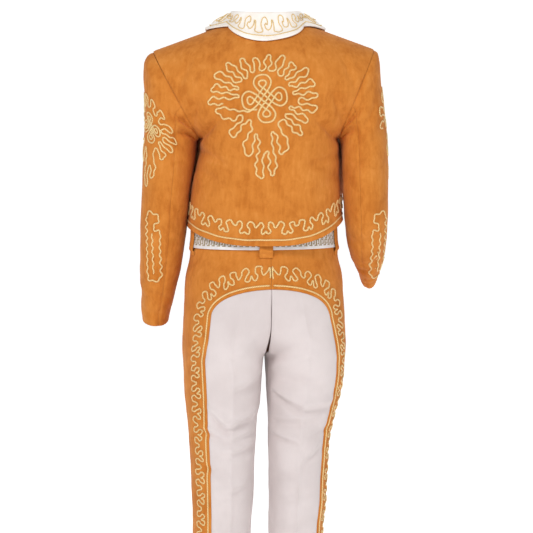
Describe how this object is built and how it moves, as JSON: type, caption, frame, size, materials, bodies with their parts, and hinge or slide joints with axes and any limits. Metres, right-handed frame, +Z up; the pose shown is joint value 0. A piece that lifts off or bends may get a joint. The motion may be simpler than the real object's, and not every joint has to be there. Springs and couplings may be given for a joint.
{
  "type": "child's charro suit, worn form",
  "caption": "Boy's charro suit in the shape of its wearer: short embroidered jacket with a falling collar, belted two-tone trousers, hollow and open at neck, cuffs and hems",
  "frame": {"origin": "the middle of the neck opening, level with the shoulders that carry the jacket", "axes": "+X is the wearer's right, +Y the wearer's front, +Z up"},
  "size_m": [0.3578, 0.1935, 1.0061],
  "materials": {
    "tan_suede": "brushed tan faux suede with a short mottled nap",
    "cream_cloth": "smooth cream satin-faced cloth",
    "white_cloth": "plain white suiting, pressed to a crease",
    "woven_belt": "white woven belt with a small key repeat in gold and dark thread",
    "gold_cord": "braided gold cord with a soft metallic sheen",
    "silver_plate": "domed silver-toned plate"
  },
  "bodies": {
    "root": {"jacket_back": "tan_suede", "jacket_front_left": "tan_suede", "jacket_front_right": "tan_suede", "sleeve_left_top": "tan_suede", "sleeve_left_under": "tan_suede", "sleeve_right_top": "tan_suede", "sleeve_right_under": "tan_suede", "collar": "cream_cloth", "trouser_back_left": "tan_suede", "trouser_back_right": "tan_suede", "trouser_front_left": "tan_suede", "trouser_front_right": "tan_suede", "leg_panel_back_left": "white_cloth", "leg_panel_back_right": "white_cloth", "leg_panel_front_left": "white_cloth", "leg_panel_front_right": "white_cloth", "waistband": "tan_suede", "fly_flap": "tan_suede", "belt_strap": "woven_belt", "buckle_plate": "silver_plate", "belt_loop_back": "tan_suede", "belt_loop_side_left": "tan_suede", "belt_loop_side_right": "tan_suede", "belt_loop_front_left": "tan_suede", "belt_loop_front_right": "tan_suede"}
  },
  "joints": []
}
